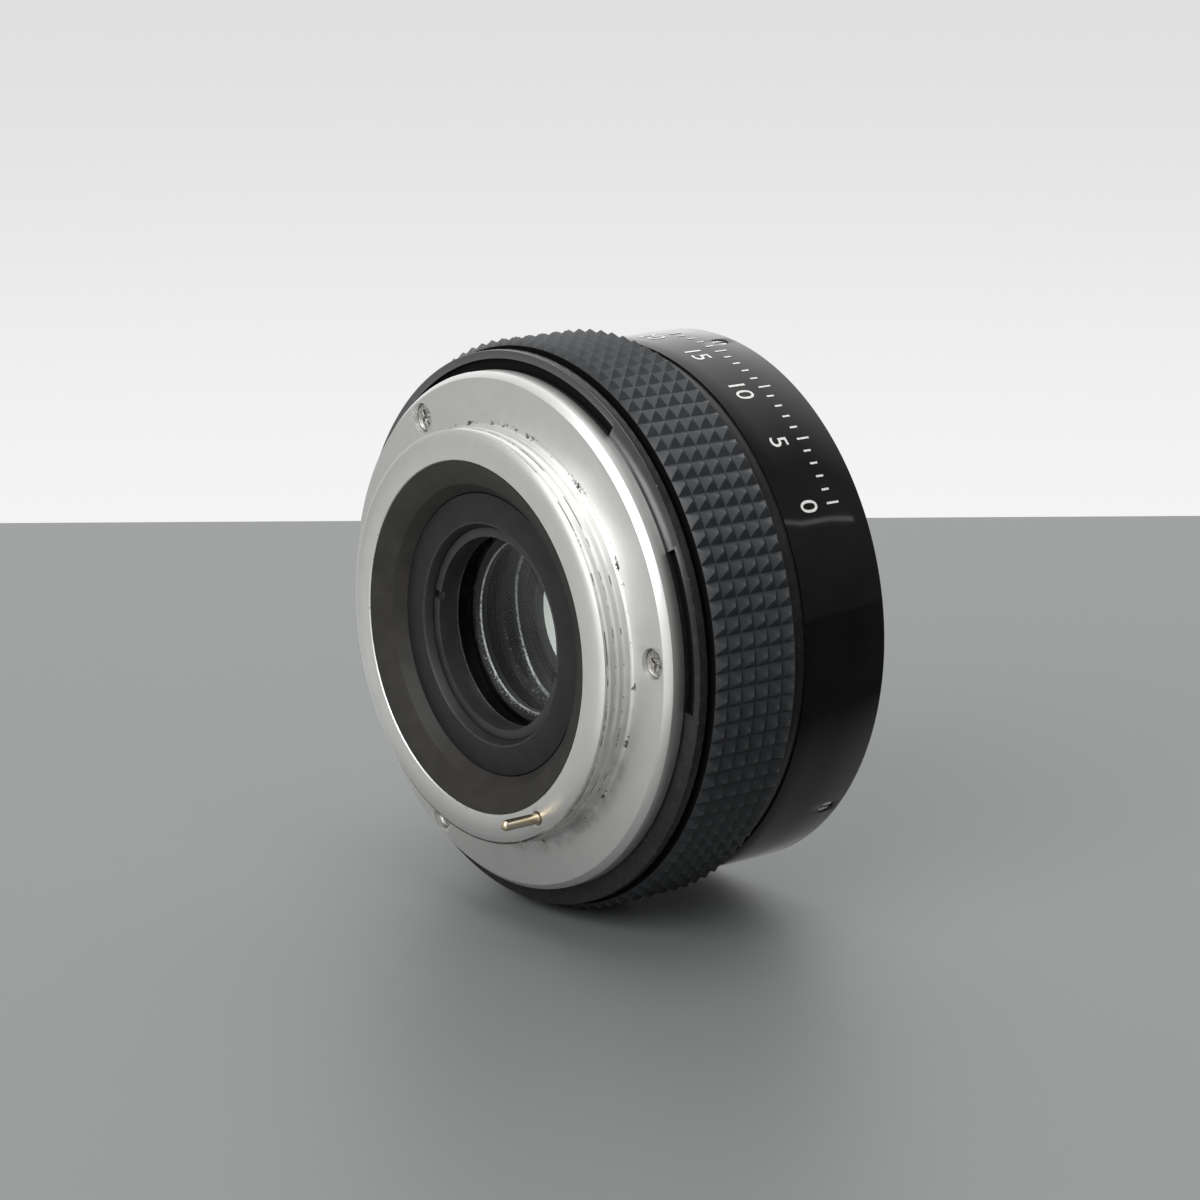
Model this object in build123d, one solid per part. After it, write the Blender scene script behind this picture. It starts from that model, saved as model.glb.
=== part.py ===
from build123d import *
import os
from math import cos, pi, radians, sin, sqrt

# Teleconverter for a 42 mm screw lens mount, in millimetres.
# The optical axis is Y: the camera side looks along -Y, the lens side along +Y, and +Z is up.
# The origin is the centre of the rear flange face. Angles run in the XZ plane from +X towards +Z.

# Fits
fit_gap = 0.02  # two fixed pieces that are pushed together
running_gap = 0.05  # radial play of a pin or rod that slides
free_gap = 0.25  # pieces that must never touch
overrun = 1.0  # how far a cut runs past the face it opens
half_share = 0.5

# Screw mount, both ends
thread_diameter = 42.0
thread_pitch = 1.0
thread_depth_share = 0.541
crest_allowance = 0.05
thread_crest_radius = thread_diameter / 2 - crest_allowance
thread_minor_radius = thread_diameter / 2 - thread_depth_share * thread_pitch

# Rear mount flange, with its widths counted from the crest of the thread
flange_width = 5.36
flange_chamfer_width = 0.58
flange_chamfer_length = 0.70
flange_thickness = 2.11
collar_length = 3.73
collar_wall = 3.10
collar_chamfer_width = 0.75
collar_chamfer_length = 0.41
baffle_shelf_width = 0.95
baffle_shelf_depth = 1.18
spigot_wall = 1.0
spigot_length = 0.8
flange_radius = thread_crest_radius + flange_width
flange_face_radius = flange_radius - flange_chamfer_width
collar_bore_radius = thread_crest_radius - collar_wall
collar_face_radius = thread_crest_radius - collar_chamfer_width
flange_bore_radius = collar_bore_radius - baffle_shelf_width
collar_rear = -collar_length
baffle_shelf = collar_rear + baffle_shelf_depth
spigot_front = flange_thickness + spigot_length

# Flange screws
screw_count = 3
flange_screw_inset = 2.31
flange_screw_angle = 3.9
flange_screw_head_radius = 1.4
flange_screw_head_height = 0.8
flange_screw_head_depth = 0.3
flange_screw_radius = 0.95
flange_screw_length = 5.6
flange_screw_to_spigot = 0.45
flange_counterbore_play = 0.15
cross_recess_width = 0.42
cross_recess_length = 1.7
cross_recess_depth = 0.45
flange_screw_circle_radius = flange_radius - flange_screw_inset
flange_counterbore_radius = flange_screw_head_radius + flange_counterbore_play
flange_head_seat = flange_screw_head_depth + flange_screw_head_height
spigot_radius = flange_screw_circle_radius - flange_screw_radius - flange_screw_to_spigot

# Aperture pin
pin_inset = 1.56
pin_angle = -56.7
pin_radius = 0.55
pin_reach = 4.34
pin_nose_share = 0.69
pin_hole_play = 0.2
pin_rivet_width = 0.4
pin_rivet_height = 0.35
pin_bush_wall = 0.55
pin_bush_depth = 0.3
pin_circle_radius = thread_crest_radius - pin_inset
pin_hole_radius = pin_radius + pin_hole_play
pin_bush_bore_radius = pin_radius + running_gap
pin_bush_radius = pin_bush_bore_radius + pin_bush_wall

# Rear light baffle
baffle_dish_width = 2.43
baffle_cone_width = 0.99
baffle_knee_depth = 1.23
baffle_bore_depth = 2.35
baffle_thickness = 0.7
baffle_edge_inset = 0.05
baffle_knee_radius = collar_bore_radius - baffle_dish_width
baffle_bore_radius = baffle_knee_radius - baffle_cone_width

# Lens cell, with its widths counted inwards from the baffle
cell_baffle_gap = 0.10
cell_face_width = 3.03
cell_mouth_chamfer_width = 0.52
cell_mouth_chamfer_length = 0.84
cell_mouth_rise = 0.18
cell_flange_depth = 2.31
cell_flange_length = 2.0
cell_wall = 1.62
cell_shoulder_width = 1.0
cell_bore_step = 0.33
cell_thread_play = 0.03
cell_front_rim = 0.37
cell_flange_radius = baffle_bore_radius - cell_baffle_gap
cell_mouth_radius = cell_flange_radius - cell_face_width
cell_thread_radius = cell_mouth_radius - cell_mouth_chamfer_width
cell_front_radius = cell_thread_radius + cell_wall
cell_rear_radius = cell_front_radius + cell_shoulder_width
cell_bore_radius = cell_thread_radius - cell_bore_step
cell_flange_rear = collar_rear + cell_flange_depth
cell_flange_front = cell_flange_rear + cell_flange_length
cell_mouth_rear = cell_flange_rear - cell_mouth_rise
cell_thread_rear = cell_mouth_rear + cell_mouth_chamfer_length

# Retaining rings
ring_thread_radius = cell_thread_radius - cell_thread_play
rear_ring_depth = 0.13
rear_ring_length = 2.36
rear_ring_wall = 0.93
front_ring_length = 1.3
front_ring_wall = 1.35
spanner_notch_width = 0.9
spanner_notch_depth = 0.5
spanner_notch_angle = 168.0
spanner_notch_count = 2
rear_ring_bore_radius = ring_thread_radius - rear_ring_wall
front_ring_bore_radius = ring_thread_radius - front_ring_wall
rear_ring_rear = cell_thread_rear + rear_ring_depth
rear_ring_front = rear_ring_rear + rear_ring_length

# Glass, counted from the rear: the bulges are how far a face stands out past its edge
lens_play = 0.05
lens_rim_width = 1.6
rear_lens_rim_width = 0.4
rear_lens_edge = 2.9
rear_lens_rear_bulge = -0.5
rear_lens_front_bulge = 1.2
rear_spacer_length = 1.6
rear_spacer_wall = 1.4
middle_lens_edge = 3.4
middle_lens_rear_bulge = -0.9
middle_lens_front_bulge = -1.1
front_spacer_length = 1.9
front_spacer_wall = 1.5
spacer_bevel = 0.7
doublet_rear_edge = 1.5
doublet_rear_bulge = 0.9
doublet_joint_bulge = 1.1
doublet_front_edge = 2.6
doublet_front_bulge = 0.3
lens_radius = cell_bore_radius - lens_play
lens_face_radius = lens_radius - lens_rim_width
rear_lens_face_radius = lens_radius - rear_lens_rim_width
rear_spacer_rear = rear_ring_front + rear_lens_edge
middle_lens_rear = rear_spacer_rear + rear_spacer_length
front_spacer_rear = middle_lens_rear + middle_lens_edge
doublet_rear = front_spacer_rear + front_spacer_length
doublet_joint = doublet_rear + doublet_rear_edge
doublet_front = doublet_joint + doublet_front_edge
cell_front = doublet_front + front_ring_length + cell_front_rim

# Stop-down mechanism, behind the flange
stroke = 3.0
transfer_ring_thickness = 0.8
transfer_ring_play = 0.4
transfer_ring_to_cell = 1.07
body_cavity_inset = 1.2
spring_wire_diameter = 0.3
spring_mean_radius = 1.25
spring_turns = 4.5
spring_packed_length = 1.84
rod_count = 3
rod_inset = 1.9
rod_first_angle = 3.3
rod_radius = 0.8
rod_rear_tail_radius = 0.5
bush_wall = 0.65
bush_head_width = 0.5
bush_head_height = 0.5
bush_rear_reach = 0.6
body_cavity_radius = spigot_radius - body_cavity_inset
transfer_ring_outer_radius = body_cavity_radius - transfer_ring_play
transfer_ring_inner_radius = cell_flange_radius + transfer_ring_to_cell
transfer_ring_rear = flange_thickness + free_gap
transfer_ring_front = transfer_ring_rear + transfer_ring_thickness
bush_bore_radius = rod_radius + running_gap
bush_radius = bush_bore_radius + bush_wall
bush_head_radius = bush_radius + bush_head_width
bush_rear = transfer_ring_front + stroke + spring_packed_length

# Main body
web_thickness = 1.6
hub_wall = 2.5
hub_rear_reach = 1.0
hub_front_reach = 1.2
lip_width = 1.93
lip_rim_width = 0.84
lip_setback = 0.29
lip_chamfer = 0.12
lip_length = 1.0
recess_depth = 0.6
recess_arcs = ((57.0, 147.0), (-6.7, 27.5), (193.0, 228.0))  # from and to, in degrees
grip_seat_drop = 0.94
step_height = 0.5
step_length = 1.85
body_spigot_wall = 1.55
body_spigot_length = 2.45
web_rear = bush_rear + bush_rear_reach
web_front = web_rear + web_thickness
hub_radius = cell_front_radius + hub_wall
hub_rear = web_rear - hub_rear_reach
hub_front = web_front + hub_front_reach
lip_radius = flange_radius + lip_width
lip_inner_radius = lip_radius - lip_rim_width
lip_face = flange_thickness + lip_setback
lip_front = lip_face + lip_length
recess_floor = lip_face + recess_depth
grip_seat_radius = lip_radius - grip_seat_drop
step_radius = grip_seat_radius + step_height

# Rubber grip
grip_thickness = 2.0
grip_groove_depth = 0.8
grip_rows = 6
grip_teeth = 102
grip_setback = 0.7
grip_length = 10.1
grip_radius = grip_seat_radius + grip_thickness
grip_groove_radius = grip_radius - grip_groove_depth
grip_rear = lip_front + grip_setback
grip_front = grip_rear + grip_length
grip_pitch = grip_length / grip_rows

# Outer barrel
barrel_inset = 0.285
barrel_length = 10.3
barrel_wall = 1.755
barrel_ridge_width = 1.0
barrel_ridge_length = 1.9
barrel_edge_chamfer = 0.25
barrel_radius = lip_radius - barrel_inset
barrel_bore_radius = barrel_radius - barrel_wall
barrel_ridge_radius = barrel_bore_radius - barrel_ridge_width
barrel_rear = grip_front + step_length
barrel_front = barrel_rear + barrel_length
body_spigot_radius = barrel_bore_radius - running_gap
body_spigot_front = barrel_rear + body_spigot_length
ridge_rear = body_spigot_front + fit_gap
ridge_front = ridge_rear + barrel_ridge_length

# Front mount ring
front_ring_proud = 0.3
front_ring_face_inset = 1.15
front_ring_step = 0.1
front_thread_relief_length = 1.56
front_thread_relief_width = 0.35
front_thread_entry_width = 0.15
front_ring_radius = barrel_bore_radius - running_gap
front_ring_face_radius = front_ring_radius - front_ring_face_inset
front_ring_rear = ridge_front + fit_gap
front_ring_face = barrel_front + front_ring_proud
front_thread_rear = front_ring_rear + front_thread_relief_length
front_thread_relief_radius = thread_crest_radius + front_thread_relief_width
front_thread_entry_radius = thread_crest_radius + front_thread_entry_width

# Pusher ring and what holds it on the rods
pusher_ring_thickness = 1.0
pusher_ring_play = 0.359
pusher_ring_to_hub = 0.3
pusher_ring_end_gap = 1.1
rod_front_tail_radius = 0.55
rod_front_tail_length = 0.8
clip_width = 0.85
clip_thickness = 0.38
clip_groove_radius = 0.4
clip_mouth_width = 0.7
pusher_ring_outer_radius = thread_minor_radius - pusher_ring_play
pusher_ring_inner_radius = hub_radius + pusher_ring_to_hub
pusher_ring_face = front_thread_rear - stroke - pusher_ring_end_gap
pusher_ring_rear = pusher_ring_face - pusher_ring_thickness
rod_circle_radius = pusher_ring_outer_radius - rod_inset
clip_radius = clip_groove_radius + clip_width

# Barrel set screws
set_screw_inset = 1.85
set_screw_first_angle = -39.3
set_screw_radius = 0.8
set_screw_length = 2.3
set_screw_depth = 0.22
set_screw_slot_width = 0.32
set_screw_slot_depth = 0.45
set_screw_y = barrel_front - set_screw_inset

# Lock ring
lock_ring_length = 1.5
lock_ring_inset = 0.6
lock_ring_notch_width = 1.6
lock_ring_notch_angle = 33.3
lock_ring_notch_count = 4
lock_ring_radius = hub_radius - lock_ring_inset


# Shapes that several pieces share

def turned(outline):
    # Turns a closed outline of (radius, y) points round the optical axis.
    return revolve(make_face(Polyline(*outline, close=True)), Axis.Y)


def bar(radius, rear, front):
    # Round bar along the optical axis.
    return extrude(Plane(origin=(0, rear, 0), z_dir=(0, 1, 0)) * Circle(radius), front - rear)


def tube(outer_radius, inner_radius, rear, front):
    return turned([(inner_radius, rear), (outer_radius, rear), (outer_radius, front), (inner_radius, front)])


def block(width, depth, height, middle_y):
    # Box along X, Y and Z, centred on the optical axis.
    return Pos(0, middle_y, 0) * Box(width, depth, height)


def on_circle(radius, angle):
    return Pos(radius * cos(radians(angle)), 0, radius * sin(radians(angle)))


def turned_to(angle):
    # Turns what points along +X to the given angle in the XZ plane.
    return Rot(0, -angle, 0)


def ring_of_angles(first_angle, count):
    return [first_angle + 360 * i / count for i in range(count)]


def arc_block(inner_radius, outer_radius, rear, front, from_angle, to_angle):
    # Piece of a ring between two angles.
    section = make_face(
        Polyline(
            (inner_radius, rear),
            (outer_radius, rear),
            (outer_radius, front),
            (inner_radius, front),
            close=True,
        )
    )
    return turned_to(to_angle) * revolve(section, Axis.Y, to_angle - from_angle)


def face_curve(edge_y, bulge, outward, radius):
    # Spherical face of a lens, from the axis to the edge. It bulges the way outward points.
    sagitta = abs(bulge)
    sphere_radius = (radius * radius + sagitta * sagitta) / (2 * sagitta)
    middle_rise = sphere_radius - sqrt(sphere_radius * sphere_radius - radius * radius / 4)
    side = outward if bulge > 0 else -outward
    vertex_y = edge_y + side * sagitta
    middle_y = vertex_y - side * middle_rise
    return ThreePointArc((0, vertex_y), (radius / 2, middle_y), (radius, edge_y)), vertex_y


def lens(edge_rear, edge_length, rear_bulge, front_bulge, rear_face_radius, front_face_radius):
    # Two spherical faces, each inside a flat ground rim.
    edge_front = edge_rear + edge_length
    rear_face, rear_vertex = face_curve(edge_rear, rear_bulge, -1, rear_face_radius)
    front_face, front_vertex = face_curve(edge_front, front_bulge, 1, front_face_radius)
    rim = Polyline(
        (rear_face_radius, edge_rear),
        (lens_radius, edge_rear),
        (lens_radius, edge_front),
        (front_face_radius, edge_front),
    )
    axis_line = Line((0, front_vertex), (0, rear_vertex))
    return revolve(make_face([rear_face, rim, front_face, axis_line]), Axis.Y)


def spanner_notches(ring_radius, bore_radius, width, depth, face_y, first_angle, count):
    # Radial slots across the face of a ring, for a spanner.
    middle_radius = (ring_radius + bore_radius) / 2
    length = ring_radius - bore_radius + 2 * overrun
    slot = Pos(middle_radius, face_y, 0) * Box(length, 2 * depth, width)
    return [turned_to(angle) * slot for angle in ring_of_angles(first_angle, count)]


# Rear mount flange with its screw collar

def make_rear_mount_flange():
    flange = turned([
        (collar_bore_radius, collar_rear),
        (collar_face_radius, collar_rear),
        (thread_crest_radius, collar_rear + collar_chamfer_length),
        (thread_crest_radius, 0),
        (flange_face_radius, 0),
        (flange_radius, flange_chamfer_length),
        (flange_radius, flange_thickness),
        (spigot_radius, flange_thickness),
        (spigot_radius, spigot_front),
        (spigot_radius - spigot_wall, spigot_front),
        (spigot_radius - spigot_wall, flange_thickness),
        (flange_bore_radius, flange_thickness),
        (flange_bore_radius, baffle_shelf),
        (collar_bore_radius, baffle_shelf),
    ])
    counterbore = bar(flange_counterbore_radius, -overrun, flange_head_seat)
    clearance_hole = bar(flange_screw_radius + running_gap, 0, flange_thickness + overrun)
    for angle in ring_of_angles(flange_screw_angle, screw_count):
        flange -= on_circle(flange_screw_circle_radius, angle) * (counterbore + clearance_hole)
    pin_hole = bar(pin_hole_radius, collar_rear - overrun, flange_thickness)
    bush_seat = bar(pin_bush_radius + fit_gap, pin_bush_depth, flange_thickness + overrun)
    return flange - on_circle(pin_circle_radius, pin_angle) * (pin_hole + bush_seat)


def make_flange_screws():
    head = bar(flange_screw_head_radius, flange_screw_head_depth, flange_head_seat)
    shank = bar(flange_screw_radius, flange_head_seat, flange_head_seat + flange_screw_length)
    bar_one = block(cross_recess_length, 2 * cross_recess_depth, cross_recess_width, flange_screw_head_depth)
    bar_two = block(cross_recess_width, 2 * cross_recess_depth, cross_recess_length, flange_screw_head_depth)
    screw = head + shank - bar_one - bar_two
    angles = ring_of_angles(flange_screw_angle, screw_count)
    return [on_circle(flange_screw_circle_radius, angle) * screw for angle in angles]


def make_pin_bush():
    bush = tube(pin_bush_radius, pin_bush_bore_radius, pin_bush_depth, flange_thickness)
    return on_circle(pin_circle_radius, pin_angle) * bush


def make_rear_light_baffle():
    rim_radius = collar_bore_radius - fit_gap
    shelf_y = baffle_shelf - fit_gap
    knee_y = collar_rear + baffle_knee_depth
    bore_y = collar_rear + baffle_bore_depth
    inner_radius = flange_bore_radius - fit_gap
    return turned([
        (rim_radius, collar_rear + baffle_edge_inset),
        (baffle_knee_radius, knee_y),
        (baffle_bore_radius, bore_y),
        (baffle_bore_radius, bore_y + baffle_thickness),
        (baffle_knee_radius, knee_y + baffle_thickness),
        (inner_radius, shelf_y + fit_gap),
        (inner_radius, shelf_y),
        (rim_radius, shelf_y),
    ])


# Stop-down mechanism

def on_rod_places(piece):
    # One copy round each of the push rods.
    return [on_circle(rod_circle_radius, angle) * piece for angle in ring_of_angles(rod_first_angle, rod_count)]


def make_aperture_pin():
    tip = collar_rear - pin_reach
    shaft = bar(pin_radius, tip, transfer_ring_front)
    nose_edge = shaft.edges().filter_by(GeomType.CIRCLE).sort_by(Axis.Y)[0]
    shaft = fillet(nose_edge, pin_radius * pin_nose_share)
    rivet = bar(pin_radius + pin_rivet_width, transfer_ring_front, transfer_ring_front + pin_rivet_height)
    return on_circle(pin_circle_radius, pin_angle) * (shaft + rivet)


def make_transfer_ring():
    rear = transfer_ring_rear
    front = transfer_ring_front
    ring = tube(transfer_ring_outer_radius, transfer_ring_inner_radius, rear, front)
    pin_seat = bar(pin_radius + fit_gap, rear - overrun, front + overrun)
    rod_seat = bar(rod_rear_tail_radius + fit_gap, rear - overrun, front + overrun)
    ring -= on_circle(pin_circle_radius, pin_angle) * pin_seat
    for angle in ring_of_angles(rod_first_angle, rod_count):
        ring -= on_circle(rod_circle_radius, angle) * rod_seat
    return ring


def make_push_rods():
    rod = bar(rod_rear_tail_radius, transfer_ring_rear, transfer_ring_front)
    rod += bar(rod_radius, transfer_ring_front, pusher_ring_rear)
    rod += bar(rod_front_tail_radius, pusher_ring_rear, pusher_ring_face + rod_front_tail_length)
    clip_groove = tube(
        rod_radius, clip_groove_radius, pusher_ring_face, pusher_ring_face + clip_thickness + 2 * fit_gap
    )
    return on_rod_places(rod - clip_groove)


def make_rod_clips():
    rear = pusher_ring_face + fit_gap
    clip = tube(clip_radius, clip_groove_radius + fit_gap, rear, rear + clip_thickness)
    mouth = Box(2 * clip_radius, 2 * clip_thickness, clip_mouth_width)
    clip -= Pos(clip_radius, rear + clip_thickness / 2, 0) * mouth
    clips = []
    for angle in ring_of_angles(rod_first_angle, rod_count):
        clips.append(on_circle(rod_circle_radius, angle) * turned_to(angle) * clip)
    return clips


def make_rod_bushes():
    head_front = web_front + bush_head_height
    bush = turned([
        (bush_bore_radius, bush_rear),
        (bush_radius, bush_rear),
        (bush_radius, web_front + fit_gap),
        (bush_head_radius, web_front + fit_gap),
        (bush_head_radius, head_front),
        (bush_bore_radius, head_front),
    ])
    return on_rod_places(bush)


def make_return_springs():
    wire_radius = spring_wire_diameter / 2
    start = transfer_ring_front + wire_radius + fit_gap
    height = bush_rear - transfer_ring_front - spring_wire_diameter - 2 * fit_gap
    coil = Helix(pitch=height / spring_turns, height=height, radius=spring_mean_radius)
    wire = sweep(Plane(origin=coil @ 0, z_dir=coil % 0) * Circle(wire_radius), path=coil)
    return on_rod_places(Pos(0, start, 0) * Rot(-90, 0, 0) * wire)


def make_pusher_ring():
    rear = pusher_ring_rear
    front = pusher_ring_face
    ring = tube(pusher_ring_outer_radius, pusher_ring_inner_radius, rear, front)
    tail_hole = bar(rod_front_tail_radius + fit_gap, rear - overrun, front + overrun)
    for angle in ring_of_angles(rod_first_angle, rod_count):
        ring -= on_circle(rod_circle_radius, angle) * tail_hole
    return ring


# Main body, grip and barrel

def make_main_body():
    recess_radius = spigot_radius + running_gap
    recess_front = spigot_front + running_gap
    spigot_bore_radius = body_spigot_radius - body_spigot_wall
    body = turned([
        (recess_radius, flange_thickness),
        (flange_radius, flange_thickness),
        (flange_radius, lip_face),
        (lip_radius - lip_chamfer, lip_face),
        (lip_radius, lip_face + lip_chamfer),
        (lip_radius, lip_front),
        (grip_seat_radius, lip_front),
        (grip_seat_radius, grip_front),
        (step_radius, grip_front),
        (step_radius, barrel_rear),
        (body_spigot_radius, barrel_rear),
        (body_spigot_radius, body_spigot_front),
        (spigot_bore_radius, body_spigot_front),
        (spigot_bore_radius, web_front),
        (hub_radius, web_front),
        (hub_radius, hub_front),
        (cell_front_radius + fit_gap, hub_front),
        (cell_front_radius + fit_gap, hub_rear),
        (hub_radius, hub_rear),
        (hub_radius, web_rear),
        (body_cavity_radius, web_rear),
        (body_cavity_radius, recess_front),
        (recess_radius, recess_front),
    ])
    for from_angle, to_angle in recess_arcs:
        body -= arc_block(
            flange_radius, lip_inner_radius, lip_face - overrun, recess_floor, from_angle, to_angle
        )
    screw_hole = bar(
        flange_screw_radius + fit_gap, 0, flange_head_seat + flange_screw_length + free_gap
    )
    for angle in ring_of_angles(flange_screw_angle, screw_count):
        body -= on_circle(flange_screw_circle_radius, angle) * screw_hole
    bush_seat = bar(bush_radius + fit_gap, web_rear - overrun, web_front + overrun)
    for angle in ring_of_angles(rod_first_angle, rod_count):
        body -= on_circle(rod_circle_radius, angle) * bush_seat
    return body


def make_rubber_grip():
    # A toothed bar and a ring with a zigzag outline cross, and leave pyramids.
    star = []
    for i in range(grip_teeth):
        tip_angle = 2 * pi * (i + half_share) / grip_teeth - pi / 2
        groove_angle = 2 * pi * (i + 1) / grip_teeth - pi / 2
        star.append((grip_radius * cos(tip_angle), grip_radius * sin(tip_angle)))
        star.append((grip_groove_radius * cos(groove_angle), grip_groove_radius * sin(groove_angle)))
    section = Plane(origin=(0, grip_rear, 0), x_dir=(1, 0, 0), z_dir=(0, 1, 0))
    toothed = extrude(section * make_face(Polyline(*star, close=True)), grip_length)
    bore_radius = grip_seat_radius + fit_gap
    outline = [(bore_radius, grip_rear), (grip_groove_radius, grip_rear)]
    for row in range(grip_rows):
        outline.append((grip_radius, grip_rear + (row + half_share) * grip_pitch))
        outline.append((grip_groove_radius, grip_rear + (row + 1) * grip_pitch))
    outline.append((bore_radius, grip_front))
    return turned(outline) & toothed


def radial_hole(radius, inner_radius, outer_radius, y, angle):
    hole = Pos(inner_radius, y, 0) * Rot(0, 90, 0) * Cylinder(
        radius, outer_radius - inner_radius, align=(Align.CENTER, Align.CENTER, Align.MIN)
    )
    return turned_to(angle) * hole


def make_outer_barrel():
    barrel = turned([
        (barrel_bore_radius, barrel_rear),
        (barrel_radius - barrel_edge_chamfer, barrel_rear),
        (barrel_radius, barrel_rear + barrel_edge_chamfer),
        (barrel_radius, barrel_front - barrel_edge_chamfer),
        (barrel_radius - barrel_edge_chamfer, barrel_front),
        (barrel_bore_radius, barrel_front),
        (barrel_bore_radius, ridge_front),
        (barrel_ridge_radius, ridge_front),
        (barrel_ridge_radius, ridge_rear),
        (barrel_bore_radius, ridge_rear),
    ])
    for angle in ring_of_angles(set_screw_first_angle, screw_count):
        barrel -= radial_hole(
            set_screw_radius + fit_gap, barrel_ridge_radius, barrel_radius + overrun, set_screw_y, angle
        )
    return barrel


def make_front_mount_ring():
    step_y = barrel_front - front_ring_step
    entry_y = front_ring_face - (front_thread_entry_radius - thread_minor_radius)
    ring = turned([
        (front_thread_relief_radius, front_ring_rear),
        (front_ring_radius, front_ring_rear),
        (front_ring_radius, step_y),
        (front_ring_face_radius, step_y),
        (front_ring_face_radius, front_ring_face),
        (front_thread_entry_radius, front_ring_face),
        (thread_minor_radius, entry_y),
        (thread_minor_radius, front_thread_rear),
        (front_thread_relief_radius, front_thread_rear),
    ])
    seat_radius = barrel_radius - set_screw_depth - set_screw_length - fit_gap
    for angle in ring_of_angles(set_screw_first_angle, screw_count):
        ring -= radial_hole(
            set_screw_radius + fit_gap, seat_radius, barrel_radius, set_screw_y, angle
        )
    return ring


def make_barrel_set_screws():
    outer_end = barrel_radius - set_screw_depth
    inner_end = outer_end - set_screw_length
    slot_block = Box(2 * set_screw_slot_depth, 2 * set_screw_radius, set_screw_slot_width)
    slot = Pos(outer_end, set_screw_y, 0) * slot_block
    screws = []
    for angle in ring_of_angles(set_screw_first_angle, screw_count):
        screw = radial_hole(set_screw_radius, inner_end, outer_end, set_screw_y, angle)
        screws.append(screw - turned_to(angle) * slot)
    return screws


# Lens cell and what it holds

def make_lens_cell():
    return turned([
        (cell_flange_radius, cell_flange_rear),
        (cell_flange_radius, cell_flange_front),
        (cell_rear_radius, cell_flange_front),
        (cell_rear_radius, hub_rear),
        (cell_front_radius, hub_rear),
        (cell_front_radius, cell_front),
        (cell_thread_radius, cell_front),
        (cell_thread_radius, doublet_front),
        (cell_bore_radius, doublet_front),
        (cell_bore_radius, rear_ring_front),
        (cell_thread_radius, rear_ring_front),
        (cell_thread_radius, cell_thread_rear),
        (cell_mouth_radius, cell_mouth_rear),
    ])


def make_rear_retaining_ring():
    ring = tube(ring_thread_radius, rear_ring_bore_radius, rear_ring_rear, rear_ring_front)
    for notch in spanner_notches(
        ring_thread_radius, rear_ring_bore_radius, spanner_notch_width, spanner_notch_depth,
        rear_ring_rear, spanner_notch_angle, spanner_notch_count,
    ):
        ring -= notch
    return ring


def make_front_retaining_ring():
    front = doublet_front + front_ring_length
    ring = tube(ring_thread_radius, front_ring_bore_radius, doublet_front, front)
    for notch in spanner_notches(
        ring_thread_radius, front_ring_bore_radius, spanner_notch_width, spanner_notch_depth,
        front, spanner_notch_angle, spanner_notch_count,
    ):
        ring -= notch
    return ring


def make_cell_lock_ring():
    rear = hub_front
    front = hub_front + lock_ring_length
    bore_radius = cell_front_radius + fit_gap
    ring = tube(lock_ring_radius, bore_radius, rear, front)
    slot_start = (lock_ring_radius + bore_radius) / 2 + overrun
    for notch in spanner_notches(
        lock_ring_radius, slot_start, lock_ring_notch_width,
        spanner_notch_depth, front, lock_ring_notch_angle, lock_ring_notch_count,
    ):
        ring -= notch
    return ring


def make_spacer(rear, front, wall):
    bore_radius = lens_radius - wall
    return turned([
        (lens_radius, rear),
        (lens_radius, front),
        (bore_radius, front),
        (bore_radius, rear + spacer_bevel),
        (bore_radius + spacer_bevel, rear),
    ])


def make_rear_lens():
    return lens(
        rear_ring_front, rear_lens_edge, rear_lens_rear_bulge, rear_lens_front_bulge,
        rear_lens_face_radius, lens_face_radius,
    )


def make_middle_lens():
    return lens(
        middle_lens_rear, middle_lens_edge, middle_lens_rear_bulge, middle_lens_front_bulge,
        lens_face_radius, lens_face_radius,
    )


def make_doublet_rear_lens():
    return lens(
        doublet_rear, doublet_rear_edge, doublet_rear_bulge, doublet_joint_bulge,
        lens_face_radius, lens_face_radius,
    )


def make_doublet_front_lens():
    return lens(
        doublet_joint, doublet_front_edge, -doublet_joint_bulge, doublet_front_bulge,
        lens_face_radius, lens_face_radius,
    )


def make_all():
    return {
        "rear_mount_flange": make_rear_mount_flange(),
        "flange_screws": make_flange_screws(),
        "pin_bush": make_pin_bush(),
        "rear_light_baffle": make_rear_light_baffle(),
        "aperture_pin": make_aperture_pin(),
        "transfer_ring": make_transfer_ring(),
        "push_rods": make_push_rods(),
        "rod_clips": make_rod_clips(),
        "rod_bushes": make_rod_bushes(),
        "return_springs": make_return_springs(),
        "pusher_ring": make_pusher_ring(),
        "main_body": make_main_body(),
        "rubber_grip": make_rubber_grip(),
        "outer_barrel": make_outer_barrel(),
        "front_mount_ring": make_front_mount_ring(),
        "barrel_set_screws": make_barrel_set_screws(),
        "lens_cell": make_lens_cell(),
        "rear_retaining_ring": make_rear_retaining_ring(),
        "front_retaining_ring": make_front_retaining_ring(),
        "cell_lock_ring": make_cell_lock_ring(),
        "rear_lens": make_rear_lens(),
        "rear_spacer_ring": make_spacer(rear_spacer_rear, middle_lens_rear, rear_spacer_wall),
        "middle_lens": make_middle_lens(),
        "front_spacer_ring": make_spacer(front_spacer_rear, doublet_rear, front_spacer_wall),
        "doublet_rear_lens": make_doublet_rear_lens(),
        "doublet_front_lens": make_doublet_front_lens(),
    }


os.makedirs("parts", exist_ok=True)
for node, shape in make_all().items():
    pieces = shape if isinstance(shape, list) else [shape]
    solids = [solid for piece in pieces for solid in piece.solids()]
    export_step(Compound(children=solids), f"parts/{node}.step")
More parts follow.
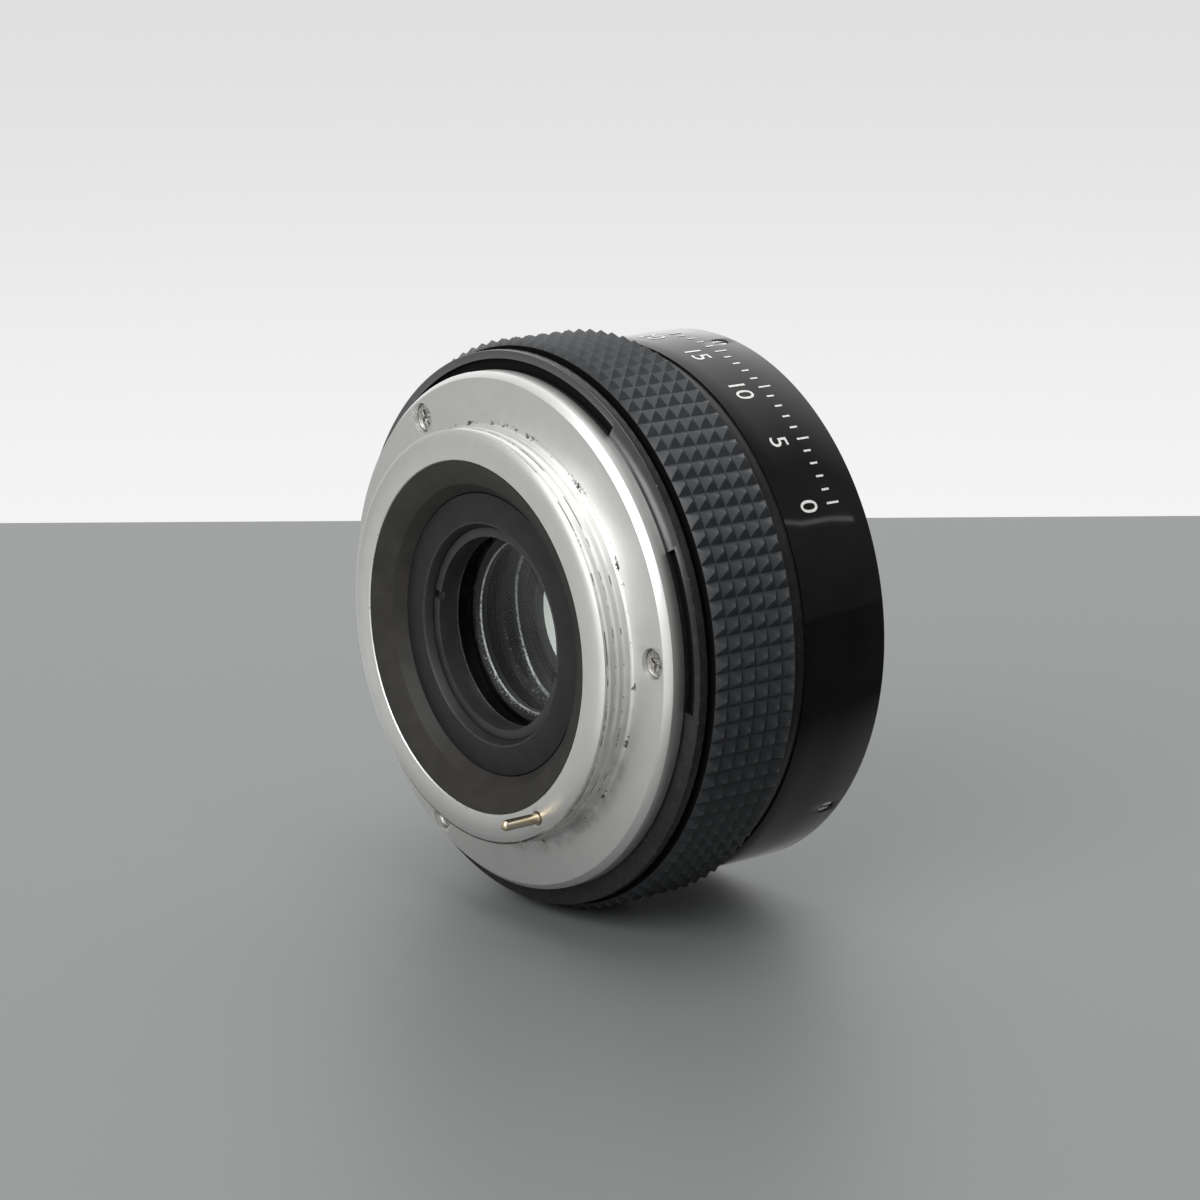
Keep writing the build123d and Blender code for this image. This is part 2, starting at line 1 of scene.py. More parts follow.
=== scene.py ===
import bpy
from math import atan2, cos, hypot, pi, radians, sin, sqrt
from mathutils import Matrix, Vector


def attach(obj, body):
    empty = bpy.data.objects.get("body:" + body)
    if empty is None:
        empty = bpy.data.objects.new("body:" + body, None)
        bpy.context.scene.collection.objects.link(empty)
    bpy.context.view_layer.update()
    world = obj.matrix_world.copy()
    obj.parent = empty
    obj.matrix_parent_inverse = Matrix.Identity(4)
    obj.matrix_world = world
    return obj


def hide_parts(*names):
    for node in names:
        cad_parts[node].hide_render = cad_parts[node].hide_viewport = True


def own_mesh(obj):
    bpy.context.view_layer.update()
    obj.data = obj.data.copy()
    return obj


# Screw-mount teleconverter, seen from the camera side.
# The optical axis is Y, the camera side is -Y, and outlines are (radius, y) in millimetres.
# "soft" says how edges are rounded: width, segments, and the angle that counts as an edge.

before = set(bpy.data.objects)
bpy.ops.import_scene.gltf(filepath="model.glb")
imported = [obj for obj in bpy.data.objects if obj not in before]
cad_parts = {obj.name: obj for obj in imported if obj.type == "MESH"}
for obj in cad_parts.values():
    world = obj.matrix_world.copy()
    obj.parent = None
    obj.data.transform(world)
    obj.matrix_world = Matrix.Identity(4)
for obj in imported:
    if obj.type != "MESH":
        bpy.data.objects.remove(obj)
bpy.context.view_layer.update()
mm = 0.001
merging = {"pole": 0.0002, "sliver": 0.0005, "seam": 0.001}  # a radius that stands for zero, and distances
print("frame loaded,", len(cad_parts), "nodes")


# modelling helpers

def deselect():
    bpy.ops.object.select_all(action="DESELECT")


def pick(piece):
    deselect()
    piece.select_set(True)
    bpy.context.view_layer.objects.active = piece


def editAll(piece):
    # into edit mode, with all of the piece selected
    pick(piece)
    bpy.ops.object.mode_set(mode="EDIT")
    bpy.ops.mesh.select_mode(type="VERT")
    bpy.ops.mesh.select_all(action="SELECT")


def added(name):
    # the primitive that was just added, with its place and turn in its mesh
    piece = bpy.context.object
    piece.name = name
    bpy.ops.object.transform_apply(location=True, rotation=True, scale=True)
    return piece


def movedTo(piece, x, z):
    pick(piece)
    piece.location = (x * mm, 0, z * mm)
    bpy.ops.object.transform_apply(location=True)
    return piece


def closeUp(piece):
    # seams and poles merged, faces outwards
    editAll(piece)
    bpy.ops.mesh.remove_doubles(threshold=merging["seam"] * mm)
    bpy.ops.mesh.normals_make_consistent(inside=False)
    bpy.ops.object.mode_set(mode="OBJECT")


def mergeClosePoints(piece):
    # so that a clamped bevel or a cut leaves no slivers
    editAll(piece)
    bpy.ops.mesh.remove_doubles(threshold=merging["sliver"] * mm)
    bpy.ops.object.mode_set(mode="OBJECT")


def turned(name, outline, sides):
    # a circle is extruded ring by ring along a closed outline
    rings = [(max(r, merging["pole"]), y) for r, y in outline]
    radius, y = rings[0]
    deselect()
    bpy.ops.mesh.primitive_circle_add(
        vertices=sides, radius=radius * mm, location=(0, y * mm, 0), rotation=(pi / 2, 0, 0))
    piece = added(name)
    editAll(piece)
    for nextRadius, nextY in rings[1:] + rings[:1]:
        wider = nextRadius / radius
        bpy.ops.mesh.extrude_edges_move(TRANSFORM_OT_translate={"value": (0, (nextY - y) * mm, 0)})
        bpy.ops.transform.resize(value=(wider, 1, wider), center_override=(0, 0, 0))
        radius, y = nextRadius, nextY
    bpy.ops.object.mode_set(mode="OBJECT")
    closeUp(piece)
    return piece


def around(circle, angle):
    return circle * cos(radians(angle)), circle * sin(radians(angle))


def thirds(angle):
    return [angle, angle + 120, angle + 240]


def arc(centre, radius, fromAngle, toAngle, steps):
    # points of an outline round a corner, angles in degrees from the radial direction towards +y
    points = []
    for i in range(steps + 1):
        a = radians(fromAngle + (toAngle - fromAngle) * i / steps)
        points.append((centre[0] + radius * cos(a), centre[1] + radius * sin(a)))
    return points


def cylinder(name, radius, length, place, rotation, sides):
    deselect()
    bpy.ops.mesh.primitive_cylinder_add(
        vertices=sides, radius=radius * mm, depth=length * mm,
        location=[p * mm for p in place], rotation=rotation)
    return added(name)


def rod(name, radius, rear, front, at, sides=48):
    # along the optical axis, at (x, z)
    place = (at[0], (rear + front) / 2, at[1])
    return cylinder(name, radius, front - rear, place, (pi / 2, 0, 0), sides)


def spoke(name, radius, inner, outer, y, angle, sides=40):
    # outwards from the optical axis
    x, z = around((inner + outer) / 2, angle)
    return cylinder(name, radius, outer - inner, (x, y, z), (0, pi / 2 - radians(angle), 0), sides)


def applied(piece, kind, **settings):
    pick(piece)
    modifier = piece.modifiers.new(kind.lower(), kind)
    for key, value in settings.items():
        setattr(modifier, key, value)
    bpy.ops.object.modifier_apply(modifier=modifier.name)


def softEdges(piece, width, segments, sharper):
    applied(piece, "BEVEL", width=width * mm, segments=segments, limit_method="ANGLE",
            angle_limit=radians(sharper), use_clamp_overlap=True)
    mergeClosePoints(piece)


def cut(piece, cutter):
    applied(piece, "BOOLEAN", operation="DIFFERENCE", object=cutter, solver="EXACT")
    bpy.data.objects.remove(cutter, do_unlink=True)


def cutBlock(piece, name, size, place, turn):
    # takes away a block that is turned about the optical axis, in degrees
    deselect()
    bpy.ops.mesh.primitive_cube_add(
        size=1, location=[p * mm for p in place], rotation=(0, radians(turn), 0))
    bpy.context.object.scale = [side * mm for side in size]
    cut(piece, added(name))


def joined(name, pieces):
    deselect()
    for piece in pieces:
        piece.select_set(True)
    bpy.context.view_layer.objects.active = pieces[0]
    bpy.ops.object.join()
    pieces[0].name = name
    return pieces[0]


def paint(piece, finish):
    piece.data.materials.clear()
    piece.data.materials.append(finishes[finish])


def dress(piece, finish, nodes, body="housing", smoothAngle=30):
    pick(piece)
    bpy.ops.object.shade_smooth_by_angle(angle=radians(smoothAngle))
    paint(piece, finish)
    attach(piece, body)
    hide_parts(*nodes)
    print("made", piece.name, len(piece.data.polygons), "faces")


# shader helpers

class Value:
    # a socket that can be added, multiplied and so on
    def __init__(self, finish, socket):
        self.finish = finish
        self.socket = socket

    def maths(self, operation, first, second=0.0):
        return self.finish.node("ShaderNodeMath", {"operation": operation}, {0: first, 1: second})

    def __add__(self, other):
        return self.maths("ADD", self, other)

    def __radd__(self, other):
        return self.maths("ADD", other, self)

    def __sub__(self, other):
        return self.maths("SUBTRACT", self, other)

    def __rsub__(self, other):
        return self.maths("SUBTRACT", other, self)

    def __mul__(self, other):
        return self.maths("MULTIPLY", self, other)

    def __rmul__(self, other):
        return self.maths("MULTIPLY", other, self)

    def __truediv__(self, other):
        return self.maths("DIVIDE", self, other)

    def __pow__(self, other):
        return self.maths("POWER", self, other)

    def __mod__(self, other):
        return self.maths("FLOORED_MODULO", self, other)

    def most(self, other):
        return self.maths("MAXIMUM", self, other)

    def least(self, other):
        return self.maths("MINIMUM", self, other)

    def size(self):
        return self.maths("ABSOLUTE", self)

    def step(self, low, high):
        # 0 below low and 1 above high, smooth between; low may be the larger
        return self.finish.node(
            "ShaderNodeMapRange", {"interpolation_type": "SMOOTHSTEP"},
            {"Value": self, "From Min": low, "From Max": high})

    def between(self, start, full, fading, end):
        # 1 from full to fading, 0 before start and after end
        return self.step(start, full) * self.step(end, fading)


class Finish:
    # one material: its principled shader with its plain values, and where a point lies in millimetres
    def __init__(self, name, sockets):
        self.material = bpy.data.materials.new(name)
        self.material.use_nodes = True
        self.tree = self.material.node_tree
        self.shader = self.tree.nodes["Principled BSDF"]
        self.feed(self.shader, sockets)
        objectPoint = self.node("ShaderNodeTexCoord", out="Object")
        self.point = self.node(
            "ShaderNodeVectorMath", {"operation": "SCALE"}, {0: objectPoint, "Scale": 1 / mm})
        self.x, self.y, self.z = [
            self.node("ShaderNodeSeparateXYZ", sockets={0: self.point}, out=axis) for axis in "XYZ"]
        self.radius = (self.x * self.x + self.z * self.z) ** 0.5
        self.angle = self.x.maths("ARCTAN2", self.z, self.x)

    def feed(self, node, sockets):
        for key, value in sockets.items():
            if isinstance(value, Value):
                self.tree.links.new(value.socket, node.inputs[key])
            else:
                node.inputs[key].default_value = value

    def node(self, kind, settings=None, sockets=None, out=0):
        made = self.tree.nodes.new(kind)
        for key, value in (settings or {}).items():
            setattr(made, key, value)
        self.feed(made, sockets or {})
        return Value(self, made.outputs[out])

    def noise(self, scale, detail, stretch=(1, 1, 1), rough=0.5):
        placed = self.node("ShaderNodeVectorMath", {"operation": "MULTIPLY"}, {0: self.point, 1: stretch})
        return self.node("ShaderNodeTexNoise", sockets={
            "Vector": placed, "Scale": scale, "Detail": detail, "Roughness": rough})

    def lines(self, along, scale, detail):
        # noise that changes along one value only, as turning marks do
        spot = self.node("ShaderNodeCombineXYZ", sockets={0: along})
        return self.node("ShaderNodeTexNoise", sockets={"Vector": spot, "Scale": scale, "Detail": detail})

    def specks(self, scale, size, share):
        # small round spots, on some of the cells only
        cells = {"Vector": self.point, "Scale": scale}
        near = self.node("ShaderNodeTexVoronoi", sockets=cells, out="Distance")
        cell = self.node("ShaderNodeTexVoronoi", sockets=cells, out="Color")
        kept = self.node("ShaderNodeSeparateColor", sockets={0: cell}, out=0)
        return near.step(size, size * 0.4) * kept.step(share, share - 0.01)

    def mix(self, factor, first, second):
        return self.node("ShaderNodeMix", {"data_type": "RGBA"}, {0: factor, 6: first, 7: second}, out=2)

    def put(self, name, value):
        self.feed(self.shader, {name: value})

    def bump(self, height, distance):
        # height from 0 to 1, distance in millimetres
        self.put("Normal", self.node("ShaderNodeBump", sockets={
            "Height": height, "Distance": distance * mm}))

    def over(self, factor, sockets):
        # another shader that takes over where factor is 1
        surface = self.tree.nodes["Material Output"].inputs["Surface"]
        below = Value(self, surface.links[0].from_socket)
        above = self.node("ShaderNodeBsdfPrincipled", sockets=sockets)
        mixed = self.node("ShaderNodeMixShader", sockets={0: factor, 1: below, 2: above})
        self.tree.links.new(mixed.socket, surface)


def rgb(red, green, blue):
    return (red, green, blue, 1.0)


# finishes; a zone of four numbers is where it starts, is full, begins to fade, and ends

collarDirtAndShade = {
    "clean": rgb(0.82, 0.82, 0.80), "dull": rgb(0.70, 0.705, 0.69),
    "dirt": rgb(0.05, 0.045, 0.04), "paintedCornerShade": rgb(0.20, 0.195, 0.185),
    "threadRadius": (20.25, 20.4, 20.94, 20.98), "threadY": (-3.3, -3.1, -0.5, -0.3),
    "valley": (0.39, 0.46), "denseY": -2.2, "rareY": -1.9,  # dashes are close together up to denseY
    "rootRadius": (21.02, 21.12, 21.45, 21.6), "rootY": (-0.55, -0.35, 0.0, 0.05),
    "underRadius": (20.6, 20.8), "underY": (-3.1, -3.2), "underZ": (-14.5, -18.0), "underX": (15.0, 9.0),
    "edgeRadius": (18.04, 18.0), "edgeY": (-3.5, -3.6),
    # where the corner's painted shade lies, and where it fades in towards the bottom
    "cornerShadeRadius": (20.7, 21.0, 21.3, 23.0), "cornerShadeZ": (2.0, -14.0),
}


def satinAluminium():
    s = collarDirtAndShade
    f = Finish("satinAluminium", {"Metallic": 1.0, "Roughness": 0.4})
    turning = f.lines(f.radius + f.y * 0.7, 9.0, 4.0)
    cloud = f.noise(0.35, 3.0)
    tone = f.mix((cloud * 0.3 + turning * 0.7).step(0.3, 0.75), s["clean"], s["dull"])
    # black dirt in dashes along the valleys of the collar's thread
    valley = ((f.y + f.angle / (2 * pi)) % 1.0 - 0.5).size().step(*s["valley"])
    onThread = f.radius.between(*s["threadRadius"]) * f.y.between(*s["threadY"])
    dashes = f.noise(0.38, 3.0, (1, 0.2, 1), 0.7).step(0.46, 0.54) * f.y.step(s["rareY"], s["denseY"])
    rare = f.noise(0.42, 3.0, rough=0.7).step(0.58, 0.63) * f.y.step(s["denseY"], s["rareY"])
    dirt = valley * onThread * (dashes + rare).least(1.0)
    # grime in the root of the collar, and along the underside of its edge
    root = f.radius.between(*s["rootRadius"]) * f.y.between(*s["rootY"])
    dirt += root * f.noise(0.5, 4.0, (1, 0.2, 1), 0.75).step(0.54, 0.60)
    under = f.radius.step(*s["underRadius"]) * f.y.step(*s["underY"])
    under *= f.z.step(*s["underZ"]) * f.x.step(*s["underX"])
    dirt += under * f.noise(0.7, 4.0, rough=0.7).step(0.34, 0.44)
    # black paint over the collar's inner edge, chipped off in places
    edge = f.radius.step(*s["edgeRadius"]) * f.y.step(*s["edgeY"])
    dirt += edge * f.noise(0.9, 4.0, rough=0.8).step(0.60, 0.64)
    dirt = dirt.least(1.0)
    # painted shade: the corner between collar and face is greyed, more and more towards the bottom
    paintedCornerShade = f.radius.between(*s["cornerShadeRadius"]) * f.z.step(*s["cornerShadeZ"])
    paintedCornerShade *= f.noise(0.45, 4.0, rough=0.7).step(0.35, 0.7)
    tone = f.mix(paintedCornerShade * 0.45, tone, s["paintedCornerShade"])
    f.put("Base Color", f.mix(dirt, tone, s["dirt"]))
    f.put("Metallic", 1.0 - dirt)
    f.put("Roughness", 0.44 + cloud * 0.06 + dirt * 0.3)
    f.bump(turning, 0.010)
    return f.material


def screwSteel():
    f = Finish("screwSteel", {"Metallic": 1.0, "Roughness": 0.25})
    scuff = f.noise(3.0, 3.0)
    f.put("Base Color", f.mix(scuff.step(0.35, 0.7), rgb(0.60, 0.59, 0.56), rgb(0.30, 0.29, 0.28)))
    f.put("Roughness", 0.18 + scuff * 0.22)
    f.bump(scuff, 0.01)
    return f.material


def warmPinSteel():
    f = Finish("warmPinSteel", {"Metallic": 1.0, "Roughness": 0.2})
    streak = f.noise(2.0, 3.0, (1, 0.15, 1))
    f.put("Base Color", f.mix(streak.step(0.3, 0.7), rgb(0.82, 0.74, 0.58), rgb(0.62, 0.52, 0.36)))
    f.put("Roughness", 0.14 + streak * 0.16)
    f.bump(streak, 0.003)
    return f.material


def plainMetal(name, light, dark, roughness):
    f = Finish(name, {"Metallic": 1.0, "Roughness": roughness})
    marks = f.lines(f.radius + f.y * 0.6, 6.0, 3.0)
    worn = f.noise(1.2, 3.0)
    f.put("Base Color", f.mix((marks * 0.5 + worn * 0.6).step(0.3, 0.85), light, dark))
    f.put("Roughness", roughness * 0.8 + worn * roughness * 0.5)
    f.bump(marks, 0.003)
    return f.material


def mattePaint(name, base, thin, roughness, grain, speck=None, wornEdge=None):
    f = Finish(name, {"Roughness": roughness, "Specular IOR Level": 0.35})
    fine = f.noise(grain, 3.0, rough=0.65)
    broad = f.noise(0.5, 2.0)
    tone = f.mix((fine * 0.5 + broad * 0.6).step(0.35, 0.8), base, thin)
    if speck:
        tone = f.mix(f.specks(0.8, 0.06, 0.12), tone, speck)
    if wornEdge:
        radius, y, bare = wornEdge
        worn = (f.radius - radius).size().step(0.14, 0.08) * (f.y - y).size().step(0.14, 0.08)
        tone = f.mix(worn * fine.step(0.35, 0.6), tone, rgb(bare, bare, bare))
    f.put("Base Color", tone)
    f.put("Roughness", roughness - 0.1 + fine * 0.2)
    f.bump(fine, 0.006)
    return f.material


ringWear = {
    "rearRing": 4.63, "frontRing": 9.63, "splitY": (9.6, 9.5),  # y where each ring begins
    "bevel": (0.1, 0.5, 0.72, 0.78), "lip": (0.50, 0.62, 0.74, 0.80),  # measured from there
    "paint": rgb(0.008, 0.008, 0.009), "bare": rgb(0.75, 0.76, 0.77),
}


def wornAndGlintRingBlack():
    # rough black paint that has come off along the ring's edges; on the bevel the bare specks are kept to
    # the bottom, a painted highlight
    s = ringWear
    f = Finish("wornAndGlintRingBlack", {"Roughness": 0.5, "Specular IOR Level": 0.25})
    grain = f.noise(5.0, 3.0, rough=0.75)
    fromFrontRing = (f.y - s["frontRing"]).most(0.0) + 20 * f.y.step(*s["splitY"])
    fromRear = (f.y - s["rearRing"]).least(fromFrontRing)
    # painted highlight: the bevel's bare specks only towards the bottom
    bevel = grain.step(0.58, 0.64) * fromRear.between(*s["bevel"]) * f.z.step(1.0, -4.0)
    lip = grain.step(0.36, 0.52) * fromRear.between(*s["lip"])
    bare = (bevel + lip).least(1.0)
    f.put("Base Color", f.mix(bare, s["paint"], s["bare"]))
    f.put("Metallic", bare * 0.4)
    f.put("Roughness", 0.5 - bare * 0.15)
    f.bump(grain, 0.03)
    return f.material


bodyZones = {
    "rubbedRadius": (28.18, 28.24), "rubbedY": (2.6, 2.45),
    # the lip face, and its painted sheen: where it is full above, and how much is left below
    "lipFaceY": (2.47, 2.43), "paintedSheenZ": (7.0, 15.0), "paintedSheenBelow": 0.15,
    # where the recesses and the groove are painted into shade
    "grooveY": (2.55, 2.65), "grooveRadius": (27.46, 27.42),
}


def satinBlack():
    s = bodyZones
    f = Finish("satinBlack", {"Roughness": 0.3, "Specular IOR Level": 0.2})
    marks = f.lines(f.radius + f.y, 8.0, 3.0)
    worn = f.noise(0.9, 3.0)
    tone = f.mix(worn.step(0.3, 0.8), rgb(0.012, 0.012, 0.0125), rgb(0.021, 0.021, 0.022))
    rubbed = f.radius.step(*s["rubbedRadius"]) * f.y.step(*s["rubbedY"])
    rubbed *= f.noise(1.6, 4.0, rough=0.7).step(0.6, 0.68)
    f.put("Base Color", f.mix(rubbed, tone, rgb(0.30, 0.29, 0.27)))
    f.put("Roughness", 0.20 + worn * 0.12)
    f.bump(marks, 0.002)
    # painted sheen: the lip's turned face takes a glossier, coated shader, in full above and weaker below
    paintedSheen = f.z.step(*s["paintedSheenZ"]) * (1 - s["paintedSheenBelow"]) + s["paintedSheenBelow"]
    f.over(f.y.step(*s["lipFaceY"]) * paintedSheen, {
        "Base Color": rgb(0.018, 0.018, 0.018), "Roughness": 0.3, "Specular IOR Level": 1.0,
        "Coat Weight": 1.0, "Coat Roughness": 0.15})
    # painted shade: the recesses and the groove before the grip take a near-black, matte shader
    f.over(f.y.step(*s["grooveY"]) * f.radius.step(*s["grooveRadius"]), {
        "Base Color": rgb(0.006, 0.006, 0.006), "Roughness": 0.7, "Specular IOR Level": 0.1})
    return f.material


def gripRubber():
    f = Finish("gripRubber", {"Roughness": 0.45, "Specular IOR Level": 0.5})
    bloom = f.noise(0.45, 3.0)
    grain = f.noise(14.0, 2.0)
    tone = f.mix(bloom.step(0.3, 0.7), rgb(0.014, 0.0162, 0.019), rgb(0.021, 0.0235, 0.0268))
    tips = f.radius.step(28.95, 29.3)
    tone = f.mix(tips * 0.4, tone, rgb(0.075, 0.08, 0.088))
    dust = f.specks(2.2, 0.1, 0.06)
    f.put("Base Color", f.mix(dust * 0.8, tone, rgb(0.30, 0.30, 0.29)))
    f.put("Roughness", 0.36 + grain * 0.15)
    f.bump(grain, 0.012)
    # painted shade: the ring's end face, deep in the groove behind the lip, takes a near-black matte shader
    f.over(f.y.step(4.15, 4.12), {
        "Base Color": rgb(0.004, 0.004, 0.004), "Roughness": 0.9, "Specular IOR Level": 0.05})
    return f.material


def glossBlack():
    f = Finish("glossBlack", {"Roughness": 0.07, "Specular IOR Level": 0.22})
    haze = f.noise(0.25, 3.0)
    wave = f.noise(0.7, 2.0, (1, 0.3, 1))
    tone = f.mix(haze.step(0.3, 0.7), rgb(0.003, 0.003, 0.003), rgb(0.006, 0.0055, 0.0055))
    dust = f.specks(0.55, 0.045, 0.10)
    f.put("Base Color", f.mix(dust, tone, rgb(0.45, 0.45, 0.43)))
    f.put("Roughness", 0.05 + haze * 0.05 + dust * 0.5)
    f.bump(wave, 0.0005)
    return f.material


def opticalGlass():
    # clear inside, with a blackened ground rim; coated and cemented glass hardly reflects
    f = Finish("opticalGlass", {
        "Roughness": 0.0, "IOR": 1.32, "Transmission Weight": 1.0, "Specular Tint": rgb(0.1, 0.1, 0.12)})
    f.put("Base Color", f.mix(f.noise(0.3, 2.0), rgb(0.96, 0.985, 0.97), rgb(0.98, 0.99, 0.98)))
    f.over(f.radius.step(10.1, 10.15), {
        "Base Color": rgb(0.008, 0.008, 0.008), "Roughness": 0.9, "Specular IOR Level": 0.0})
    return f.material


def paintedMark():
    f = Finish("paintedMark", {"Roughness": 0.45})
    f.put("Base Color", f.mix(
        f.noise(2.5, 3.0).step(0.3, 0.7), rgb(0.80, 0.79, 0.77), rgb(0.66, 0.65, 0.63)))
    return f.material


finishes = {
    "aluminium": satinAluminium(),
    "screw": screwSteel(),
    "pin": warmPinSteel(),
    "brass": plainMetal("bushBrass", rgb(0.72, 0.56, 0.28), rgb(0.48, 0.36, 0.18), 0.32),
    "steel": plainMetal("plainSteel", rgb(0.58, 0.58, 0.57), rgb(0.38, 0.38, 0.38), 0.34),
    "spring": plainMetal("springSteel", rgb(0.55, 0.55, 0.55), rgb(0.35, 0.35, 0.36), 0.25),
    "blackSteel": plainMetal("blackSteel", rgb(0.09, 0.09, 0.095), rgb(0.05, 0.05, 0.052), 0.38),
    "dish": mattePaint("dishPaint", rgb(0.016, 0.0148, 0.0135), rgb(0.029, 0.027, 0.0245), 0.55, 5.0,
                       speck=rgb(0.55, 0.45, 0.2)),
    "cell": mattePaint("cellBlack", rgb(0.009, 0.009, 0.010), rgb(0.015, 0.015, 0.016), 0.5, 6.0,
                       speck=rgb(0.4, 0.4, 0.38), wornEdge=(11.3, -1.58, 0.05)),
    "ring": mattePaint("ringBlack", rgb(0.024, 0.024, 0.025), rgb(0.036, 0.036, 0.037), 0.42, 6.0,
                       wornEdge=(9.86, 1.7, 0.2)),
    "wornAndGlintRing": wornAndGlintRingBlack(),
    "body": satinBlack(),
    "grip": gripRubber(),
    "barrel": glossBlack(),
    "glass": opticalGlass(),
    "mark": paintedMark(),
}
print("finishes made:", len(finishes))


# the two mount threads: right-handed valleys pushed into a finely ringed cylinder

thread = {"pitch": 1.0, "narrower": 1.6, "fadeRear": 0.25, "fadeFront": 0.35, "near": 0.02, "slack": 0.001}


def cutThread(piece, crest, rear, front, depth):
    # a positive depth goes outwards, and both ends fade
    s = thread
    for vertex in piece.data.vertices:
        x, y, z = vertex.co / mm
        r = hypot(x, z)
        if abs(r - crest) > s["near"] or y < rear - s["slack"] or y > front + s["slack"]:
            continue
        turn = y / s["pitch"] + atan2(z, x) / (2 * pi)
        valley = (0.5 + 0.5 * cos(2 * pi * (turn - 0.5))) ** s["narrower"]
        fade = max(0.0, min(1.0, (y - rear) / s["fadeRear"], (front - y) / s["fadeFront"]))
        wider = (r + depth * valley * fade) / r
        vertex.co.x *= wider
        vertex.co.z *= wider


# rear mount flange and its collar

flange = {
    "bore": 16.9, "collarBore": 17.85, "shelf": -2.55,
    "collarRear": -3.73, "collarFace": 20.2, "crest": 20.95, "threadStart": -3.32,
    "threadEnd": -0.6, "threadDepth": -0.12, "threadRings": 44, "threadLead": 0.06,
    "rootFillet": 0.5, "filletSteps": 5, "edgeChamfer": 0.14,
    "face": 25.73, "rim": 26.31, "rimChamfer": 0.70, "thickness": 2.11,
    "spigot": 22.6, "spigotBore": 21.6, "spigotFront": 2.91, "sides": 320, "soft": (0.05, 2, 30),
    "screwCircle": 24.0, "screwAngle": 3.9, "pinCircle": 19.39, "pinAngle": -56.7,
    # holes: radius, and the y from and to which each is cut
    "counterbore": (1.55, -1, 1.1), "screwHole": (1.0, 0.5, 3), "pinHole": (0.75, -5, 3),
}


def makeFlange():
    s = flange
    run = s["threadEnd"] - s["threadStart"]
    crests = [(s["crest"], s["threadStart"] + run * i / s["threadRings"])
              for i in range(s["threadRings"] + 1)]
    fillet = s["rootFillet"]
    root = arc((s["crest"] + fillet, -fillet), fillet, 180, 90, s["filletSteps"])
    edge = s["edgeChamfer"]
    outline = [
        (s["collarBore"], s["collarRear"] + edge), (s["collarBore"] + edge, s["collarRear"]),
        (s["collarFace"], s["collarRear"]),
    ] + crests + root + [
        (s["face"], 0), (s["rim"], s["rimChamfer"]), (s["rim"], s["thickness"]),
        (s["spigot"], s["thickness"]), (s["spigot"], s["spigotFront"]), (s["spigotBore"], s["spigotFront"]),
        (s["spigotBore"], s["thickness"]), (s["bore"], s["thickness"]), (s["bore"], s["shelf"]),
        (s["collarBore"], s["shelf"]),
    ]
    piece = turned("mountFlange", outline, s["sides"])
    for angle in thirds(s["screwAngle"]):
        place = around(s["screwCircle"], angle)
        for hole in ("counterbore", "screwHole"):
            cut(piece, rod(hole, *s[hole], place))
    cut(piece, rod("pinHole", *s["pinHole"], around(s["pinCircle"], s["pinAngle"])))
    softEdges(piece, *s["soft"])
    cutThread(piece, s["crest"], s["threadStart"] + s["threadLead"], s["threadEnd"], s["threadDepth"])
    return piece


dress(makeFlange(), "aluminium", ["rear_mount_flange"])


# flange screws, cross-headed

screws = {
    "head": 1.4, "headRear": 0.5, "headFront": 1.1, "shank": 0.95, "shankRear": 1.0, "shankFront": 6.7,
    "crossWidth": 0.42, "crossLength": 1.7, "crossDepth": 0.45, "twist": (20, -35, 55),
    "headSides": 40, "shankSides": 24, "headSoft": (0.07, 3, 40), "shankSoft": (0.15, 1, 40),
}


def makeFlangeScrew(angle, twist):
    s = screws
    x, z = around(flange["screwCircle"], angle)
    head = rod("screwHead", s["head"], s["headRear"], s["headFront"], (x, z), s["headSides"])
    for turn in (twist, twist + 90):
        size = (s["crossLength"], 2 * s["crossDepth"], s["crossWidth"])
        cutBlock(head, "crossSlot", size, (x, s["headRear"], z), turn)
    softEdges(head, *s["headSoft"])
    shank = rod("screwShank", s["shank"], s["shankRear"], s["shankFront"], (x, z), s["shankSides"])
    softEdges(shank, *s["shankSoft"])
    return joined("flangeScrew", [head, shank])


flangeScrews = [makeFlangeScrew(a, t) for a, t in zip(thirds(flange["screwAngle"]), screws["twist"])]
dress(joined("flangeScrews", flangeScrews), "screw", ["flange_screws"])


# aperture pin

pin = {
    "radius": 0.55, "tip": -8.07, "nose": 0.5, "front": 3.16, "rivet": 0.95, "rivetFront": 3.51,
    "sides": 48, "soft": (0.04, 2, 40),
}


def makePin():
    s = pin
    outline = [(s["radius"] * sin(radians(a)), s["tip"] + s["nose"] * (1 - cos(radians(a))))
               for a in range(0, 91, 15)]
    outline += [(s["radius"], s["front"]), (s["rivet"], s["front"]), (s["rivet"], s["rivetFront"]),
                (0, s["rivetFront"])]
    piece = turned("aperturePin", outline, s["sides"])
    softEdges(piece, *s["soft"])
    return movedTo(piece, *around(flange["pinCircle"], flange["pinAngle"]))


dress(makePin(), "pin", ["aperture_pin"], "stop_down_slide")


# black rings inside the collar

baffle = {
    "rim": 17.83, "rimRear": -3.68, "knee": (15.42, -2.50), "bore": (14.43, -1.38), "thickness": 0.7,
    "shoulder": 16.88, "shoulderY": (-2.55, -2.57), "sides": 256, "soft": (0.05, 3, 15),
}


